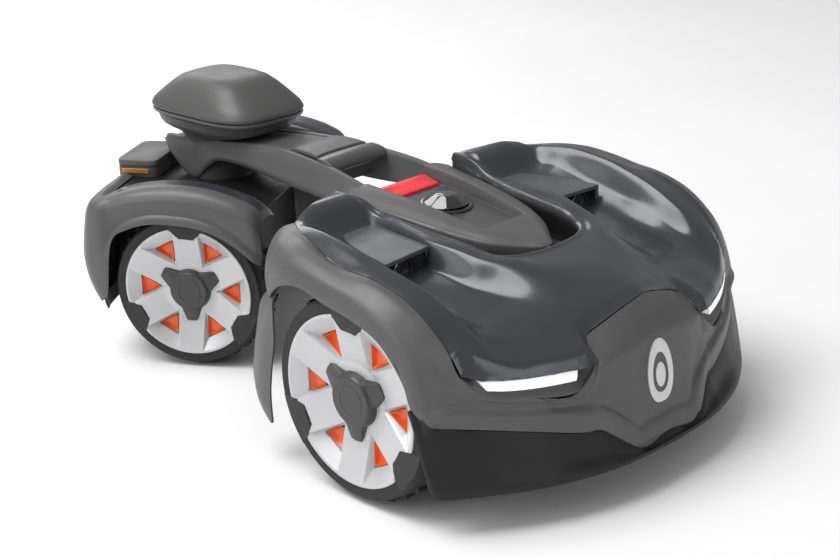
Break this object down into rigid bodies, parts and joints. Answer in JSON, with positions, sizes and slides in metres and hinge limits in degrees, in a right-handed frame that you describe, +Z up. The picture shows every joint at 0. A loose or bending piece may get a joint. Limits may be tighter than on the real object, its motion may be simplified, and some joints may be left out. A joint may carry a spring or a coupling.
{
  "type": "robotic lawn mower",
  "caption": "Articulated four-wheel-drive robotic lawn mower with a dished hood, an arm with carry handle and aerial, and a steering rear body.",
  "frame": {"origin": "on the ground, at the middle of the mower's footprint box at rest", "axes": "+Z up, the nose points along -Y, the mower's right side is -X"},
  "size_m": [0.556, 0.986, 0.355],
  "materials": {
    "hood": "gloss slate",
    "body_grey": "satin grey",
    "nose_grey": "fine matt texture",
    "skirt_black": "matt black",
    "chassis_black": "matt black",
    "tyre": "smooth sidewall, lugged tread",
    "rim_silver": "silver",
    "window_orange": "orange",
    "cap_grey": "satin",
    "lens": "clear",
    "gloss_black": "polished",
    "stop_red": "red",
    "steel": "machined",
    "motor_can": "plated can",
    "battery": "shrink wrap"
  },
  "bodies": {
    "front": {"front_chassis": "chassis_black", "arm_frame": "body_grey", "arm_rear_cover": "nose_grey", "console_cover": "body_grey", "display_panel": "nose_grey", "carry_handle": "nose_grey", "antenna_base": "body_grey", "antenna_dome": "body_grey", "battery_pack": "battery", "front_wheel_motors": "motor_can", "height_motor": "motor_can", "pivot_shaft": "steel", "steering_gear": "steel", "belly_screws": "steel"},
    "outer_shell": {"front_body_shell": "body_grey", "hood_cover": "hood", "nose_plate": "nose_grey", "bumper_skirt": "skirt_black", "headlight_lenses": "lens", "ultrasonic_sensors": "gloss_black", "front_mud_flaps": "skirt_black"},
    "knob_shaft": {"knob_shaft": "steel"},
    "control_knob": {"control_knob": "gloss_black"},
    "stop_button": {"stop_button": "stop_red"},
    "lift_screw": {"lift_screw": "steel"},
    "cutting_deck": {"deck_carriage": "cap_grey", "cutting_motor": "motor_can"},
    "blade_disc": {"blade_disc": "cap_grey", "blade_screws": "steel"},
    "skid_plate": {"skid_plate": "cap_grey"},
    "rear_body": {"rear_chassis": "chassis_black", "rear_shell": "body_grey", "rear_guard": "skirt_black", "rear_box_cover": "skirt_black", "rear_wheel_motors": "motor_can", "steering_motor": "motor_can"},
    "steering_pinion": {"steering_pinion": "steel"},
    "blade_1": {"blade_1": "steel"},
    "blade_2": {"blade_2": "steel"},
    "blade_3": {"blade_3": "steel"},
    "blade_4": {"blade_4": "steel"},
    "blade_5": {"blade_5": "steel"},
    "wheel_front_right": {"tyre_front_right": "tyre", "rim_front_right": "rim_silver", "window_insert_front_right": "window_orange", "hub_cap_front_right": "cap_grey"},
    "wheel_front_left": {"tyre_front_left": "tyre", "rim_front_left": "rim_silver", "window_insert_front_left": "window_orange", "hub_cap_front_left": "cap_grey"},
    "wheel_rear_right": {"tyre_rear_right": "tyre", "rim_rear_right": "rim_silver", "window_insert_rear_right": "window_orange", "hub_cap_rear_right": "cap_grey"},
    "wheel_rear_left": {"tyre_rear_left": "tyre", "rim_rear_left": "rim_silver", "window_insert_rear_left": "window_orange", "hub_cap_rear_left": "cap_grey"}
  },
  "joints": [
    {"name": "shell_bump", "type": "slide", "parent": "front", "child": "outer_shell", "axis": [0, 1, 0], "range_m": [-0.004, 0.004], "stiffness_N_per_m": 4000},
    {"name": "knob_push", "type": "slide", "parent": "front", "child": "knob_shaft", "axis": [0, 0, -1], "range_m": [0, 0.0015], "stiffness_N_per_m": 500},
    {"name": "knob_turn", "type": "hinge", "parent": "knob_shaft", "child": "control_knob", "pos_m": [0, -0.15, 0.26], "axis": [0, 0, 1], "continuous": true},
    {"name": "stop_push", "type": "slide", "parent": "front", "child": "stop_button", "axis": [0, 0, -1], "range_m": [0, 0.003], "stiffness_N_per_m": 700},
    {"name": "cutting_height", "type": "slide", "parent": "front", "child": "cutting_deck", "axis": [0, 0, 1], "range_m": [-0.02, 0.02]},
    {"name": "lift_screw_turn", "type": "hinge", "parent": "front", "child": "lift_screw", "pos_m": [0, -0.184, 0.14], "axis": [0, 0, 1], "range_deg": [-910, 910]},
    {"name": "blade_disc_spin", "type": "hinge", "parent": "cutting_deck", "child": "blade_disc", "pos_m": [0, -0.252, 0.055], "axis": [0, 0, 1], "continuous": true},
    {"name": "skid_plate_spin", "type": "hinge", "parent": "cutting_deck", "child": "skid_plate", "pos_m": [0, -0.252, 0.042], "axis": [0, 0, 1], "continuous": true},
    {"name": "blade_1_pivot", "type": "hinge", "parent": "blade_disc", "child": "blade_1", "pos_m": [0.078, -0.252, 0.0505], "axis": [0, 0, 1], "continuous": true},
    {"name": "blade_2_pivot", "type": "hinge", "parent": "blade_disc", "child": "blade_2", "pos_m": [0.0241, -0.17782, 0.0505], "axis": [0, 0, 1], "continuous": true},
    {"name": "blade_3_pivot", "type": "hinge", "parent": "blade_disc", "child": "blade_3", "pos_m": [-0.0631, -0.20615, 0.0505], "axis": [0, 0, 1], "continuous": true},
    {"name": "blade_4_pivot", "type": "hinge", "parent": "blade_disc", "child": "blade_4", "pos_m": [-0.0631, -0.29785, 0.0505], "axis": [0, 0, 1], "continuous": true},
    {"name": "blade_5_pivot", "type": "hinge", "parent": "blade_disc", "child": "blade_5", "pos_m": [0.0241, -0.32618, 0.0505], "axis": [0, 0, 1], "continuous": true},
    {"name": "wheel_front_right_spin", "type": "hinge", "parent": "front", "child": "wheel_front_right", "pos_m": [-0.24, -0.262, 0.1205], "axis": [1, 0, 0], "continuous": true},
    {"name": "wheel_front_left_spin", "type": "hinge", "parent": "front", "child": "wheel_front_left", "pos_m": [0.24, -0.262, 0.1205], "axis": [1, 0, 0], "continuous": true},
    {"name": "steering", "type": "hinge", "parent": "front", "child": "rear_body", "pos_m": [0, 0.285, 0.19], "axis": [0, 0, 1], "range_deg": [-75.5, 14.5]},
    {"name": "steering_pinion_turn", "type": "hinge", "parent": "rear_body", "child": "steering_pinion", "pos_m": [-0.02436, 0.32636, 0.183], "axis": [0, 0, 1], "range_deg": [-227, 44]},
    {"name": "wheel_rear_right_spin", "type": "hinge", "parent": "rear_body", "child": "wheel_rear_right", "pos_m": [-0.12898, 0.18871, 0.106], "axis": [0.8616, 0.5075, 0], "continuous": true},
    {"name": "wheel_rear_left_spin", "type": "hinge", "parent": "rear_body", "child": "wheel_rear_left", "pos_m": [0.14674, 0.35113, 0.106], "axis": [0.8616, 0.5075, 0], "continuous": true}
  ],
  "couplings": [
    {"joint": "lift_screw_turn", "follows": "cutting_height", "rad_per_m": 785.4},
    {"joint": "steering_pinion_turn", "follows": "steering", "ratio": 3}
  ]
}
